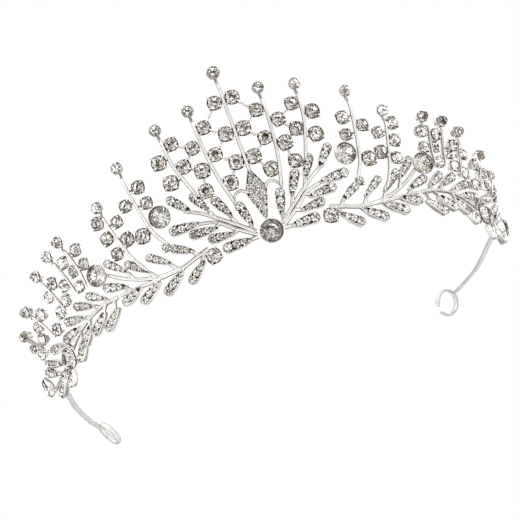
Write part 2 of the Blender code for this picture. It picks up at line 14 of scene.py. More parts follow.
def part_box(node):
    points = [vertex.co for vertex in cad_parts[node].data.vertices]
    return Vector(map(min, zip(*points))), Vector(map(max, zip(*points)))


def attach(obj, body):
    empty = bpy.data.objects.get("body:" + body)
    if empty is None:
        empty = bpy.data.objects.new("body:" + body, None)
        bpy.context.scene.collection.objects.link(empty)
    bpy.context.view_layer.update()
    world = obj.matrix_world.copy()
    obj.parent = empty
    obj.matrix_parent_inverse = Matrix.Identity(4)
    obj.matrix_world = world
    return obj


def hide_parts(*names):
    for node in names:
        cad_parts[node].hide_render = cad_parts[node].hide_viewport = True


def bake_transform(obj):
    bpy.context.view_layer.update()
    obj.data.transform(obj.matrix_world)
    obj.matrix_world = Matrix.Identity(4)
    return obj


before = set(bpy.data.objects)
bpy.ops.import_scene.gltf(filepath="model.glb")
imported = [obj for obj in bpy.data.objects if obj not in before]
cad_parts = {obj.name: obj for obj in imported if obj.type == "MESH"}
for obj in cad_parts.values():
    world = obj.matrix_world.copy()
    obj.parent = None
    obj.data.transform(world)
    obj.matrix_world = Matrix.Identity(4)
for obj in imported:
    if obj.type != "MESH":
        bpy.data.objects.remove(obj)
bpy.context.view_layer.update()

MM = 0.001
VERTICAL = Vector((0.0, 0.0, 1.0))
SIDES = (("left", -1), ("right", 1))

# Plan curve of the band and how far the crown leans forward, as in the CAD
HEADING_TERMS = (0.84, 0.85, -0.20)
FLARE = 0.10
PLAN_STEP = 1.0
REST_TILT = radians(14.4)

# Cut of a large stone, over its radius
TABLE_RATIO = 0.54
STAR_RATIO = 0.77
CROWN_RATIO = 0.40
PAVILION_RATIO = 0.82
LOWER_HALF_RATIO = 0.34
GIRDLE_RATIO = 0.025

# Rings of a small stone above its girdle, (reach, height) over its radius; the last one is the table
TIP_TIERS = ((0.90, 0.55), (0.50, 1.02))
SMALL_TIERS = ((0.88, 0.40), (0.52, 0.66))
PAVE_TIERS = ((0.84, 0.26), (0.50, 0.44))

# Cut of the CAD's centre stone, over its radius
CAD_TABLE_RATIO = 0.56
CAD_CROWN_RATIO = 0.40
CAD_PAVILION_RATIO = 0.68

# Stones: flat positions, with the diameter last
CENTRE_STONE = (0.0, 0.0, 6.8)
CENTRE_OUT = 0.6
CENTRE_TIP = (0.0, 47.3, 3.8)
TIP_DIAMETER = 3.4
BIG_DIAMETER = 6.4
BIG_STONES = ((27.3, 14.9), (51.0, 8.2), (73.5, -7.0))
END_STONE = (97.0, -7.4)
END_STONE_WIDTH = 4.6
END_STONE_LENGTH = 6.4
END_CUP_LEVELS = ((0.55, -2.1), (0.72, -1.9), (0.97, -0.6), (1.0, 0.0), (0.97, 0.16), (0.92, 0.10),
                  (0.86, -0.2), (0.3, -1.5))  # size over the outline's, and height
END_CUT_LEVELS = ((0.05, -1.4), (0.55, -0.8), (1.0, -0.06), (1.0, 0.06), (0.80, 0.75), (0.52, 1.15))
LOW_STONE = (17.2, -0.9, 4.2)
SHOULDER_STONE = (28.6, 6.3, 2.4)

# Lattices of small settings behind the middle spikes, and the bars between them
CENTRE_LATTICE = ((2.5, 39.0, 4.0), (7.5, 33.5, 3.9), (2.5, 29.7, 4.2),
                  (7.1, 25.3, 3.9), (2.5, 21.3, 4.2), (5.9, 16.4, 4.3))
SIDE_LATTICE = ((12.3, 29.2, 3.9), (17.2, 32.4, 3.8), (16.2, 25.2, 4.0),
                (11.9, 22.3, 4.3), (12.9, 16.6, 4.0))
SIDE_LATTICE_BARS = ((0, 1), (0, 2), (2, 3), (3, 4))

# Spikes of one side: foot and bends of the wire, then the tip, and the settings that hang on the wire
SPIKES = (
    {"wire": ((6.6, 10.3), (8.1, 16.5), (9.0, 21.5), (9.6, 28.0)), "tip": (10.0, 39.4), "cups": ()},
    {"wire": ((15.6, 16.0), (17.4, 21.5), (18.9, 27.0)), "tip": (19.9, 37.7),
     "cups": ((22.1, 28.8, 4.2), (21.0, 22.3, 4.3))},
    {"wire": ((28.0, 7.0), (30.3, 11.5), (31.3, 16.0), (32.3, 22.5)), "tip": (33.3, 32.4),
     "cups": ((29.8, 25.0, 3.8), (29.2, 20.0, 3.5), (35.0, 21.7, 3.6), (33.6, 12.0, 4.3))},
    {"wire": ((35.6, 2.4), (38.4, 7.5), (40.2, 13.5), (41.4, 18.5)), "tip": (42.8, 24.9),
     "cups": ((38.9, 18.8, 3.4), (38.0, 13.1, 4.0), (44.4, 20.9, 3.8), (43.5, 15.8, 3.8),
              (42.4, 10.7, 3.6))},
    {"wire": ((54.9, 6.8), (55.3, 12.5), (56.7, 18.0)), "tip": (58.7, 22.3),
     "cups": ((54.0, 17.6, 3.6), (53.3, 12.9, 3.4), (57.4, 12.7, 3.4))},
    {"wire": ((59.2, 7.0), (60.3, 12.0), (62.0, 17.0)), "tip": (64.3, 20.6),
     "cups": ((59.6, 16.4, 3.6), (62.6, 10.8, 3.5), (57.6, 8.1, 3.4))},
    {"wire": ((65.3, 4.2), (66.9, 9.0), (69.4, 14.4)), "tip": (71.8, 18.0),
     "cups": ((66.6, 13.4, 3.6), (70.2, 10.9, 3.5), (64.1, 7.0, 3.5), (68.2, 5.1, 3.6))},
    {"wire": ((74.4, 0.2), (77.2, 5.0), (81.0, 9.6)), "tip": (85.0, 12.6),
     "cups": ((77.4, 8.5, 3.8), (81.6, 6.4, 3.5), (72.8, 1.8, 3.6))},
    {"wire": ((82.0, -1.0), (86.4, 3.0), (90.5, 6.2)), "tip": (95.0, 8.6),
     "cups": ((82.4, 2.8, 3.6), (86.6, 0.2, 3.6), (91.4, 3.4, 3.2))},
)
CENTRE_SPIKE = {"wire": ((0.0, 17.0), (0.0, 24.0), (0.0, 34.0)), "tip": CENTRE_TIP[:2], "cups": ()}
BENT_TIPS = {("right", 5): (56.4, 22.0)}
TURNED_STONES = {(1, 2): radians(-14.0)}  # large stones that sit turned, by side and number

# Leaves of one side: base, outer end and width of each
INNER_LEAVES = (((4.2, 3.0), (6.2, 10.9), 3.0), ((8.6, 7.4), (12.2, 14.6), 3.0),
                ((13.8, 11.0), (17.5, 17.6), 2.9), ((18.6, 13.0), (23.8, 19.0), 2.9),
                ((17.4, 9.0), (26.6, 9.9), 3.0), ((13.2, 6.0), (21.8, 6.8), 2.8),
                ((9.6, 2.9), (17.3, 3.8), 2.8), ((5.8, -0.3), (14.4, -0.1), 3.2))
MIDDLE_LEAVES = (((21.6, 2.3), (28.0, 5.9), 2.6), ((28.8, 1.8), (35.2, 6.5), 2.6),
                 ((35.3, 2.0), (41.7, 7.6), 2.6), ((41.5, 4.8), (47.4, 10.6), 2.6),
                 ((20.0, -0.9), (26.2, -5.6), 2.8), ((26.8, -1.4), (33.9, -5.6), 2.9),
                 ((33.8, -1.2), (41.3, -4.9), 2.8), ((39.6, -0.5), (46.8, -2.7), 2.7),
                 ((43.4, 1.5), (50.8, 4.2), 2.8))
OUTER_LEAVES = (((51.4, 1.5), (57.4, 5.0), 2.7), ((55.8, 1.3), (63.0, 4.3), 2.8),
                ((60.5, 0.0), (69.0, 2.0), 2.8), ((64.6, -1.4), (72.6, -2.3), 2.8),
                ((48.6, -2.5), (55.2, -6.9), 2.7), ((53.4, -1.7), (60.2, -5.9), 2.8),
                ((59.8, -2.8), (65.8, -7.0), 2.7), ((63.8, -4.6), (69.8, -9.9), 2.8),
                ((74.2, -2.3), (81.2, -1.8), 2.8), ((77.6, -7.0), (88.2, -3.0), 2.8),
                ((82.4, -8.4), (91.4, -4.6), 2.8), ((75.2, -10.1), (79.6, -13.6), 2.8),
                ((79.2, -9.4), (88.0, -13.6), 2.9))

# Stones of the lance-shaped centre leaf, and the arched wire beside it
KITE_STONES = ((0.0, 16.75, 1.4), (-0.62, 15.4, 1.35), (0.80, 15.1, 1.35), (0.05, 13.95, 1.5),
               (-1.50, 14.0, 1.45), (1.60, 13.7, 1.45), (-0.85, 12.55, 1.6), (0.80, 12.4, 1.6),
               (-2.35, 12.6, 1.25), (2.35, 12.35, 1.25), (0.0, 11.0, 1.55), (-1.62, 11.15, 1.5),
               (1.62, 10.95, 1.5), (-0.85, 9.65, 1.5), (0.78, 9.5, 1.5), (-2.0, 9.95, 0.9),
               (1.95, 9.75, 0.9), (-0.05, 8.15, 1.5), (-1.35, 8.45, 1.0), (1.30, 8.3, 1.0),
               (-0.68, 6.95, 1.15), (0.62, 6.85, 1.15), (0.0, 5.75, 1.2), (0.0, 4.65, 0.9))
KITE_ARCH = ((2.7, 12.5), (4.0, 13.6), (5.5, 13.3), (6.9, 11.5), (6.5, 9.8))

# Stems of one side
INNER_STEMS = (((3.9, 1.4), (8.6, 5.4), (12.6, 8.6), (16.2, 11.4), (20.6, 13.9)),
               ((3.9, 0.6), (9.6, 4.6), (13.2, 7.6), (18.6, 9.2)), ((12.4, 7.2), (14.8, 6.1)),
               ((8.3, 3.7), (11.0, 3.0)), ((3.9, 0.0), (7.6, -0.3)), ((4.6, 2.0), (4.8, 5.0)),
               ((8.0, 5.2), (9.6, 8.8)), ((13.2, 9.0), (14.6, 12.4)))
MIDDLE_STEMS = (((17.9, 1.7), (22.0, 0.7), (27.0, -0.5), (33.0, -0.2), (38.6, 1.3), (44.0, 4.0),
                 (48.8, 7.4)),
                ((27.0, -0.5), (36.0, -0.5), (46.8, 0.1)), ((21.2, 0.9), (22.8, 3.0)),
                ((28.0, -0.4), (30.2, 2.8)), ((34.6, 0.2), (36.6, 3.1)), ((40.6, 2.2), (42.6, 5.9)),
                ((19.6, 1.2), (21.6, -2.1)), ((26.4, -0.4), (28.4, -2.4)), ((33.6, -0.3), (35.6, -2.1)),
                ((43.0, 0.0), (45.4, 2.2)))
OUTER_STEMS = (((47.9, 0.1), (54.0, 0.1), (60.0, -1.0), (66.0, -3.0), (71.4, -5.6)),
               ((75.6, -8.0), (80.0, -8.8), (86.0, -9.8), (92.0, -10.0), (96.4, -8.4)),
               ((49.2, 0.0), (50.4, -3.7)), ((52.4, 0.1), (55.2, -2.8)), ((50.8, 0.1), (53.4, 2.7)),
               ((59.6, -0.9), (61.2, -3.8)), ((64.8, -2.6), (65.6, -6.2)), ((75.8, -7.2), (79.6, -6.3)),
               ((71.0, -5.0), (72.6, -3.2), (75.4, -2.3)), ((81.4, -9.0), (84.6, -7.6)),
               ((75.6, -8.2), (76.6, -11.2)), ((54.6, 0.1), (57.8, 2.2)), ((59.4, -0.8), (62.8, 0.6)),
               ((63.4, -2.0), (66.8, -1.7)), ((78.2, -8.9), (81.6, -10.6)))

# Arms: the strip's middle line, in the crown's own frame before it leans forward (side, back, up)
ARM_LINES = {
    "right": ((66.2, 44.0, -9.6), (66.4, 54.0, -9.0), (65.8, 62.0, -9.1), (64.9, 69.0, -9.7),
              (63.2, 76.5, -10.5), (60.4, 83.5, -11.2), (56.7, 90.7, -12.0)),
    "left": ((-66.2, 44.0, -9.6), (-66.6, 54.0, -9.0), (-65.9, 63.0, -9.2), (-65.2, 71.5, -10.0),
             (-63.8, 80.6, -10.9), (-61.8, 90.4, -11.9), (-59.3, 99.4, -12.8)),
}

# Loops, in degrees: heading and lean of the ring, where the arm joins it and where its open end is
LOOPS = {"right": (213.0, -20.0, 146.0, -12.0), "left": (99.0, -29.0, 58.0, 100.0)}
LOOP_SWEEP = radians(332.0)
LOOP_RADIUS = 3.9
LOOP_STEPS = 44
ARM_WIDTH = 1.6
ARM_THICKNESS = 0.8
ARM_STEP = 1.5

# Camera, in the crown's own frame: direction, roll, distance and aim
CAMERA_AZIMUTH = -0.1104
CAMERA_ELEVATION = -0.2730
CAMERA_ROLL = -0.3644
CAMERA_DISTANCE = 689.1
CAMERA_AIM = (-3.183, -7.948)
CAMERA_LENS = 174.37

# Material numbers on the metalwork, on the stones and on the arms
# The second and third metal numbers carry painted shade: dark gilt in recesses and round rims, grey lines
# along edges.
SILVER, SHADED_GILT, EDGE_SHADE = 0, 1, 2
GLASS, FOIL = 0, 1
STRIP_FACE, STRIP_EDGE_SHADE = 0, 1

# Settings and leaves
CUP_DEPTH = 2.9
CUP_FIT = 0.95  # cup and stone over the stone's full diameter in the CAD
SETTING_DEPTH = 2.1
SMALL_STONE_FIT = 0.97
CLAW_THICKNESS = 0.56
TIP_CLAW_THICKNESS = 0.38
CLAW_CORNERS = 6
LEAF_DEPTH = 2.15
PAVE_OUT = -0.12  # a leaf's stones sit a little below its rim
PAVE_MARGIN = 0.62  # metal beside a leaf's largest stone
PAVE_TAPER = 0.88  # width of each stone over the one outside it
PAVE_GAP = 0.06
SMALLEST_PAVE = 0.8
GRAIN_RADIUS = 0.20

# Wires
STEM_RADIUS = 0.56
STEM_OUT = -1.15
SPIKE_RADIUS = 0.52
SPIKE_TAPER = 0.12
SPIKE_OUT = 0.38
LINK_REACH = 0.42  # where a link meets a setting, over the stone's diameter
LATTICE_OUT = -1.2
JOINED_ACROSS = 3.0  # cups of the lattice that are nearer to the middle are joined across it
WIRE_PROFILE = ((1.0, -0.2), (0.98, 0.35), (0.68, 0.85), (0.30, 0.80), (0.0, 0.42), (-0.30, 0.80),
                (-0.68, 0.85), (-0.98, 0.35), (-1.0, -0.2), (-0.6, -0.8), (0.0, -1.0), (0.6, -0.8))
# Profiles of the thin grey strips of painted shade along a wire's edges and a link's front.
RIGHT_EDGE_SHADE = ((0.70, 0.78), (0.96, 0.28), (1.03, 0.30), (0.71, 0.89))
LEFT_EDGE_SHADE = tuple((-x, y) for x, y in reversed(RIGHT_EDGE_SHADE))
LINK_FRONT_SHADE = ((0.22, 0.90), (0.20, 1.05), (-0.20, 1.05), (-0.22, 0.90))
ROUND_PROFILE = tuple((cos(step * tau / 10), sin(step * tau / 10)) for step in range(10))
STRIP_PROFILE = ((0.5, -0.25), (0.5, 0.0), (0.40, 0.30), (0.18, 0.46), (0.0, 0.40), (-0.18, 0.46),
                 (-0.40, 0.30), (-0.5, 0.0), (-0.5, -0.25), (-0.35, -0.45), (0.0, -0.5), (0.35, -0.45))
# Lines of painted shade along the arm strip's edges: across, height.
STRIP_SHADE_LINES = ((0.46, 0.13), (-0.46, 0.13), (0.44, -0.36), (-0.44, -0.36))
LINE_HALF = 0.035
SOLDER_RADIUS = 0.72

# Looks
SMOOTH_ANGLE = radians(42.0)
WHITE = (1.0, 1.0, 1.0)
FOIL_COLOURS = ((0.52, 0.36, 0.22), (0.94, 0.94, 0.92), WHITE)  # brown painted glints, bright and brightest
GRAIN_DEPTH = 0.05 * MM
WORLD_STRENGTH = 1.85
FLOOR_HALF = 1.5
LIGHTS = (("key", (-0.5, -0.7, 0.9), 0.8, 5.0), ("rim", (0.6, 0.8, 0.7), 0.6, 3.0))  # place, width, watts
SEED = 11


# Placing on the band

def heading(along):
    """Heading of the band in plan, 0 across the forehead; it turns the other way on the other side."""
    reach = abs(along) / 100.0
    first, second, third = HEADING_TERMS
    return copysign(first * reach + second * reach ** 2 + third * reach ** 3, along)


def plan_point(along):
    """Side and back position of the band's middle line, added up in short straight steps."""
    steps = max(1, round(abs(along) / PLAN_STEP))
    length = abs(along) / steps
    side = 0.0
    back = 0.0
    for step in range(steps):
        turn = abs(heading((step + 0.5) * length))
        side += length * cos(turn)
        back += length * sin(turn)
    return copysign(side, along), back


def crown_outward(along):
    turn = heading(along)
    return Vector((sin(turn), -cos(turn), -FLARE)).normalized()


def crown_point(along, up, out):
    """Metres in the crown's own frame, before it leans forward."""
    side, back = plan_point(along)
    turn = heading(along)
    on_band = Vector((side + up * FLARE * sin(turn), back - up * FLARE * cos(turn), up))
    return (on_band + crown_outward(along) * out) * MM


def crown_frame(along, up, out, turn=0.0):
    """Placement in the crown's own frame: local X along the band, Y up it and Z outwards."""
    normal = crown_outward(along)
    across = Vector((cos(heading(along)), sin(heading(along)), 0.0))
    axes = Matrix((across, normal.cross(across), normal)).transposed().to_4x4()
    return Matrix.Translation(crown_point(along, up, out)) @ axes @ Matrix.Rotation(turn, 4, "Z")


def stand():
    """Placement of the crown's own frame in the row's frame, from where the CAD's centre stone is."""
    lean = Matrix.Rotation(REST_TILT, 4, "X")
    radius = CENTRE_STONE[2] / 2 * MM
    placement = lean @ crown_frame(CENTRE_STONE[0], CENTRE_STONE[1], CENTRE_OUT)
    corners = [placement @ Vector((0.0, 0.0, -CAD_PAVILION_RATIO * radius))]
    for step in range(12):
        turn = step * tau / 12
        for ratio, rise in ((1.0, 0.0), (CAD_TABLE_RATIO, CAD_CROWN_RATIO)):
            corner = Vector((ratio * sin(turn), ratio * cos(turn), rise)) * radius
            corners.append(placement @ corner)
    lowest = Vector([min(corner[axis] for corner in corners) for axis in range(3)])
    return Matrix.Translation(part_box("centre_stone")[0] - lowest) @ lean


STAND = stand()


def band_point(along, up, out):
    return STAND @ crown_point(along, up, out)


def band_frame(along, up, out=0.0, turn=0.0):
    return STAND @ crown_frame(along, up, out, turn)


def band_outward(along):
    return STAND.to_3x3() @ crown_outward(along)


def smooth_line(points, step):
    """Points of a smooth curve through the given ones, about one step apart."""
    knots = [Vector(point) for point in points]
    padded = [knots[0] * 2 - knots[1]] + knots + [knots[-1] * 2 - knots[-2]]
    line = []
    for index in range(len(knots) - 1):
        before, start, end, after = padded[index:index + 4]
        pieces = max(1, round((end - start).length / step))
        for piece in range(pieces):
            part = piece / pieces
            line.append(0.5 * (2 * start + (end - before) * part
                               + (2 * before - 5 * start + 4 * end - after) * part ** 2
                               + (3 * start - before - 3 * end + after) * part ** 3))
    line.append(knots[-1])
    return line


def run_at(line, index):
    """Way from the point before to the point after one of a line's points."""
    return line[min(index + 1, len(line) - 1)] - line[max(index - 1, 0)]


# Meshes

class Pile:
    """Points and faces gathered for one mesh, with each face's material number."""

    def __init__(self):
        self.points = []
        self.faces = []
        self.paints = []

    def add(self, placement, points, faces, paints):
        start = len(self.points)
        self.points += [placement @ point for point in points]
        self.faces += [[start + index for index in face] for face in faces]
        self.paints += paints


def add_loft(pile, rings, paints, placement=Matrix()):
    """Closed skin over rings of equally many points, capped at both ends."""
    count = len(rings[0])
    points = [point for ring in rings for point in ring]
    paints = paints or [SILVER] * (len(rings) - 1)
    faces = [list(reversed(range(count)))]
    face_paints = [paints[0]]
    for level, paint in enumerate(paints):
        for index in range(count):
            after = (index + 1) % count
            faces.append([level * count + index, level * count + after,
                          (level + 1) * count + after, (level + 1) * count + index])
            face_paints.append(paint)
    last = (len(rings) - 1) * count
    faces.append([last + index for index in range(count)])
    face_paints.append(paints[-1])
    pile.add(placement, points, faces, face_paints)


def circle(radius, height, segments, corners=0.0):
    """Ring of points round local Z; corners is how far four corners bulge, over the radius."""
    ring = []
    for step in range(segments):
        turn = step * tau / segments
        reach = radius * (1.0 + corners * max(0.0, cos(4.0 * (turn - pi / 4))))
        ring.append(Vector((reach * cos(turn), reach * sin(turn), height)))
    return ring


def add_turned(pile, placement, profile, segments, paints=None):
    """Turned solid: a profile of (radius, height) or (radius, height, corners) in millimetres."""
    rings = [circle(point[0] * MM, point[1] * MM, segments, point[2] if len(point) > 2 else 0.0)
             for point in profile]
    add_loft(pile, rings, paints, placement)


def add_bead(pile, placement, radius, squash, segments=8, rings=5):
    """Small ball, squashed along local Z."""
    profile = []
    for step in range(rings + 1):
        turn = pi * (0.04 + 0.92 * step / rings)
        profile.append((radius * sin(turn), -radius * squash * cos(turn)))
    add_turned(pile, placement, profile, segments)


def add_object(name, data):
    thing = bpy.data.objects.new(name, data)
    bpy.context.scene.collection.objects.link(thing)
    return thing


def make_piece(name, pile, materials, smooth_angle, nodes, body="crown"):
    """One piece from a pile, standing for the given CAD nodes and riding on a CAD body."""
    mesh = bpy.data.meshes.new(name)
    mesh.from_pydata(pile.points, [], pile.faces)
    for material in materials:
        mesh.materials.append(material)
    mesh.polygons.foreach_set("material_index", pile.paints)
    shape = bmesh.new()
    shape.from_mesh(mesh)
    bmesh.ops.recalc_face_normals(shape, faces=shape.faces)
    shape.to_mesh(mesh)
    shape.free()
    if smooth_angle:
        mesh.shade_smooth()
        mesh.set_sharp_from_angle(angle=smooth_angle)
    piece = add_object(name, mesh)
    if body:
        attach(piece, body)
    if nodes:
        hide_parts(*nodes)
    return piece


def make_metal(name, pile, nodes):
    make_piece(name, pile, METALS, SMOOTH_ANGLE, nodes)


def make_stones(name, pile, nodes, materials):
    make_piece(name, pile, materials, 0.0, nodes)


# Stones

def brilliant_cut(mains):
    """Points, faces and materials of a round cut stone of radius 1 with its girdle at height 0."""
    step = tau / mains
    points = []

    def put(radius, turn, height):
        points.append(Vector((radius * cos(turn), radius * sin(turn), height)))
        return len(points) - 1

    table = [put(TABLE_RATIO, index * step, CROWN_RATIO) for index in range(mains)]
    slope = CROWN_RATIO / (1.0 - TABLE_RATIO)
    star_height = slope * (1.0 - STAR_RATIO * cos(step / 2))
    stars = [put(STAR_RATIO, (index + 0.5) * step, star_height) for index in range(mains)]
    high = [put(1.0, index * step / 2, GIRDLE_RATIO) for index in range(2 * mains)]
    low = [put(1.0, index * step / 2, -GIRDLE_RATIO) for index in range(2 * mains)]
    half_height = -PAVILION_RATIO * (1.0 - LOWER_HALF_RATIO * cos(step / 2))
    halves = [put(LOWER_HALF_RATIO, (index + 0.5) * step, half_height) for index in range(mains)]
    culet = put(0.0, 0.0, -PAVILION_RATIO)
    crown = [table]
    pavilion = []
    for index in range(mains):
        after = (index + 1) % mains
        here, between, there = 2 * index, 2 * index + 1, (2 * index + 2) % (2 * mains)
        crown.append([table[index], stars[index], table[after]])
        crown.append([table[index], stars[index - 1], high[here], stars[index]])
        crown.append([stars[index], high[here], high[between]])
        crown.append([stars[index], high[between], high[there]])
        pavilion.append([culet, halves[index], low[here], halves[index - 1]])
        pavilion.append([halves[index], low[between], low[here]])
        pavilion.append([halves[index], low[there], low[between]])
    for index in range(2 * mains):
        after = (index + 1) % (2 * mains)
        crown.append([high[index], low[index], low[after], high[after]])
    return points, crown + pavilion, [GLASS] * len(crown) + [FOIL] * len(pavilion)


def tiered_cut(sides, tiers):
    """Points, faces and materials of a simpler cut: rings of triangles that step in to a table."""
    step = tau / sides
    points = []

    def ring(reach, height, shift=0.0):
        start = len(points)
        for index in range(sides):
            turn = (index + shift) * step
            points.append(Vector((reach * cos(turn), reach * sin(turn), height)))
        return list(range(start, len(points)))

    girdle = ring(1.0, -GIRDLE_RATIO)
    lower = ring(1.0, GIRDLE_RATIO)
    after = [(index + 1) % sides for index in range(sides)]
    crown = [[girdle[index], girdle[after[index]], lower[after[index]], lower[index]]
             for index in range(sides)]
    ahead = False
    for reach, height in tiers:
        upper = ring(reach, height, 0.0 if ahead else 0.5)
        for index in range(sides):
            if ahead:
                crown.append([lower[index], upper[after[index]], upper[index]])
                crown.append([lower[index], lower[after[index]], upper[after[index]]])
            else:
                crown.append([lower[index], lower[after[index]], upper[index]])
                crown.append([upper[index], lower[after[index]], upper[after[index]]])
        lower = upper
        ahead = not ahead
    crown.append(lower)
    points.append(Vector((0.0, 0.0, -PAVILION_RATIO)))
    culet = len(points) - 1
    pavilion = [[culet, girdle[after[index]], girdle[index]] for index in range(sides)]
    return points, crown + pavilion, [GLASS] * len(crown) + [FOIL] * len(pavilion)


CUTS = {"large": brilliant_cut(8), "tip": tiered_cut(8, TIP_TIERS), "small": tiered_cut(8, SMALL_TIERS),
        "pave": tiered_cut(6, PAVE_TIERS)}


def add_stone(pile, placement, diameter, cut, lean):
    """Cut stone in its setting, turned and tipped a little, as a hand sets it."""
    radius = diameter / 2 * MM
    turn = Matrix.Rotation(random.uniform(0.0, pi / 3), 4, "Z")
    tip = Matrix.Rotation(random.uniform(-lean, lean), 4, "X")
    tip = tip @ Matrix.Rotation(random.uniform(-lean, lean), 4, "Y")
    pile.add(placement @ tip @ turn @ Matrix.Scale(radius, 4), *CUTS[cut])


# Settings

def add_round_cup(pile, placement, diameter, depth, back, wall=0.17, segments=24):
    """Smooth conical cup with a thin rim; its inner wall and a band round the top of its outer wall are dark
    gilt, painted shadow lines round the stone.
    """
    stone = diameter / 2
    profile = [(stone * back * 0.55, -depth - 0.12), (stone * back * 0.9, -depth),
               (stone * back, -depth + 0.18), (stone * 0.92, -0.85), (stone + wall * 0.7, -0.55),
               (stone + wall, -0.36), (stone + wall, 0.10), (stone + wall * 0.6, 0.17),
               (stone + wall * 0.25, 0.12), (stone - 0.05, -0.08), (stone * 0.45, -stone * 0.52),
               (0.05, -stone * PAVILION_RATIO - 0.1)]
    # Dark gilt bands: painted shadow lines round the rim and inside the cup.
    paints = [SILVER] * 5 + [SHADED_GILT] + [SILVER] * 2 + [SHADED_GILT] * 3
    add_turned(pile, placement, profile, segments, paints)


def add_claw(pile, placement, turn, foot, shoulder, tip, heights, thickness):
    """One claw: rises from the foot past the stone's girdle and bends in over its crown."""
    low, girdle, top = heights
    path = (((foot, low), 1.0), ((shoulder, girdle - 0.3), 1.05), ((shoulder + 0.02, girdle + 0.1), 0.95),
            ((tip + 0.12, top - 0.02), 0.8), ((tip - 0.12, top - 0.10), 0.45))
    rings = []
    for (reach, height), width in path:
        half = thickness * width / 2 * MM
        ring = circle(half, 0.0, CLAW_CORNERS)
        rings.append([Vector((reach * MM + point.x, point.y, height * MM + point.x / 2)) for point in ring])
    add_loft(pile, rings, None, placement @ Matrix.Rotation(turn, 4, "Z"))


def add_claw_setting(pile, placement, diameter):
    """Tapered basket with four soft corners and a claw at each."""
    stone = diameter / 2
    depth = SETTING_DEPTH
    profile = [(stone * 0.30, -depth - 0.1), (stone * 0.48, -depth, 0.08),
               (stone * 0.58, -depth + 0.25, 0.10), (stone * 0.82, -0.85, 0.11), (stone, -0.40, 0.11),
               (stone * 1.05, -0.18, 0.10), (stone * 1.06, -0.02, 0.09), (stone * 1.01, 0.05, 0.06),
               (stone * 0.94, -0.10), (stone * 0.45, -stone * 0.55), (0.05, -stone * PAVILION_RATIO - 0.1)]
    # The inner wall of the basket is dark gilt: painted shade round the stone.
    paints = [SILVER] * 5 + [SHADED_GILT] * 5
    add_turned(pile, placement, profile, 24, paints)
    for claw in range(4):
        turn = pi / 4 + claw * tau / 4 + random.uniform(-0.06, 0.06)
        add_claw(pile, placement, turn, stone * 0.62, stone * 1.17, stone * 0.90,
                 (-depth + 0.3, 0.0, stone * 0.30 + 0.16), CLAW_THICKNESS)


def add_small_setting(metal, stones, along, up, diameter):
    placement = band_frame(along, up, 0.0, random.uniform(-0.25, 0.25))
    add_claw_setting(metal, placement, diameter)
    add_stone(stones, placement, diameter * SMALL_STONE_FIT, "small", 0.10)


def add_tip_setting(metal, stones, along, up, diameter, depth):
    """Deep conical cup at the top of a spike, with four short claws over its rim."""
    placement = band_frame(along, up, 0.0, random.uniform(-0.4, 0.4))
    add_round_cup(metal, placement, diameter * 0.92, depth, 0.66)
    for claw in range(4):
        turn = pi / 4 + claw * tau / 4
        add_claw(metal, placement, turn, diameter * 0.42, diameter * 0.51, diameter * 0.40,
                 (-0.9, 0.0, 0.46), TIP_CLAW_THICKNESS)
    add_stone(stones, placement, diameter * CUP_FIT, "tip", 0.08)


# Leaves

def leaf_outline(length, width):
    """Leaf from a narrow base at the origin to a round outer end, along local Y."""
    half = width / 2
    right = [(0.26, 0.0), (half * 0.52, length * 0.12), (half * 0.76, length * 0.30),
             (half * 0.93, length * 0.52), (half, length - half * 1.15)]
    middle = length - half
    cap = [(half * cos(turn), middle + half * sin(turn))
           for turn in (radians(degrees) for degrees in (20, 45, 68, 90, 112, 135, 160))]
    return right + cap + [(-across, rise) for across, rise in reversed(right)]


def inset(outline, amount):
    """Outline moved inwards; the outline runs anticlockwise."""
    moved = []
    for index, (across, rise) in enumerate(outline):
        before = Vector(outline[index - 1])
        after = Vector(outline[(index + 1) % len(outline)])
        here = Vector((across, rise))
        first = (here - before).normalized()
        second = (after - here).normalized()
        inwards = (Vector((-first.y, first.x)) + Vector((-second.y, second.x))).normalized()
        moved.append(here + inwards * amount)
    return moved


def add_dish(pile, placement, outline):
    """Plate with a rounded back and a raised rim round a sunk floor in dark gilt, painted shade under the
    stones.
    """
    depth = LEAF_DEPTH
    levels = ((0.62, -depth), (0.30, -depth + 0.06), (0.08, -depth + 0.28), (0.0, -depth + 0.65),
              (0.0, -0.40), (0.04, -0.12), (0.14, -0.02), (0.22, -0.10), (0.25, -0.45), (0.28, -1.3))
    rings = [[Vector((point[0] * MM, point[1] * MM, height * MM)) for point in inset(outline, amount)]
             for amount, height in levels]
    add_loft(pile, rings, [SILVER] * 7 + [SHADED_GILT] * 2, placement)


def leaf_stones(length, width):
    """(distance from the base, diameter) of the stones along a leaf, largest at the round outer end."""
    place = length - width / 2
    diameter = width - PAVE_MARGIN
    stones = []
    while place > length * 0.14 and diameter > SMALLEST_PAVE:
        stones.append((place, diameter))
        following = diameter * PAVE_TAPER
        place -= (diameter + following) / 2 + PAVE_GAP
        diameter = following
    return stones


def add_collar(pile, placement, radius):
    """Thin raised ring round a small stone; its inner lip is dark gilt, painted shade round the stone."""
    profile = [(radius * 0.5, -1.25), (radius + 0.02, -0.60), (radius + 0.10, -0.30), (radius + 0.10, -0.02),
               (radius + 0.05, 0.06), (radius - 0.02, 0.02), (radius - 0.05, -0.08),
               (0.04, -radius * PAVILION_RATIO - 0.12)]
    add_turned(pile, placement, profile, 16, [SILVER] * 5 + [SHADED_GILT] * 2)


def add_paved_stone(metal, stones, placement, diameter):
    """Small stone in a collar, with a grain of metal on each side of it."""
    add_collar(metal, placement, diameter / 2)
    add_stone(stones, placement, diameter, "pave", 0.14)
    for side in (-1, 1):
        beside = Vector((side * diameter * 0.47, -diameter * 0.42, 0.0)) * MM
        add_bead(metal, placement @ Matrix.Translation(beside), GRAIN_RADIUS, 1.0, 6, 4)


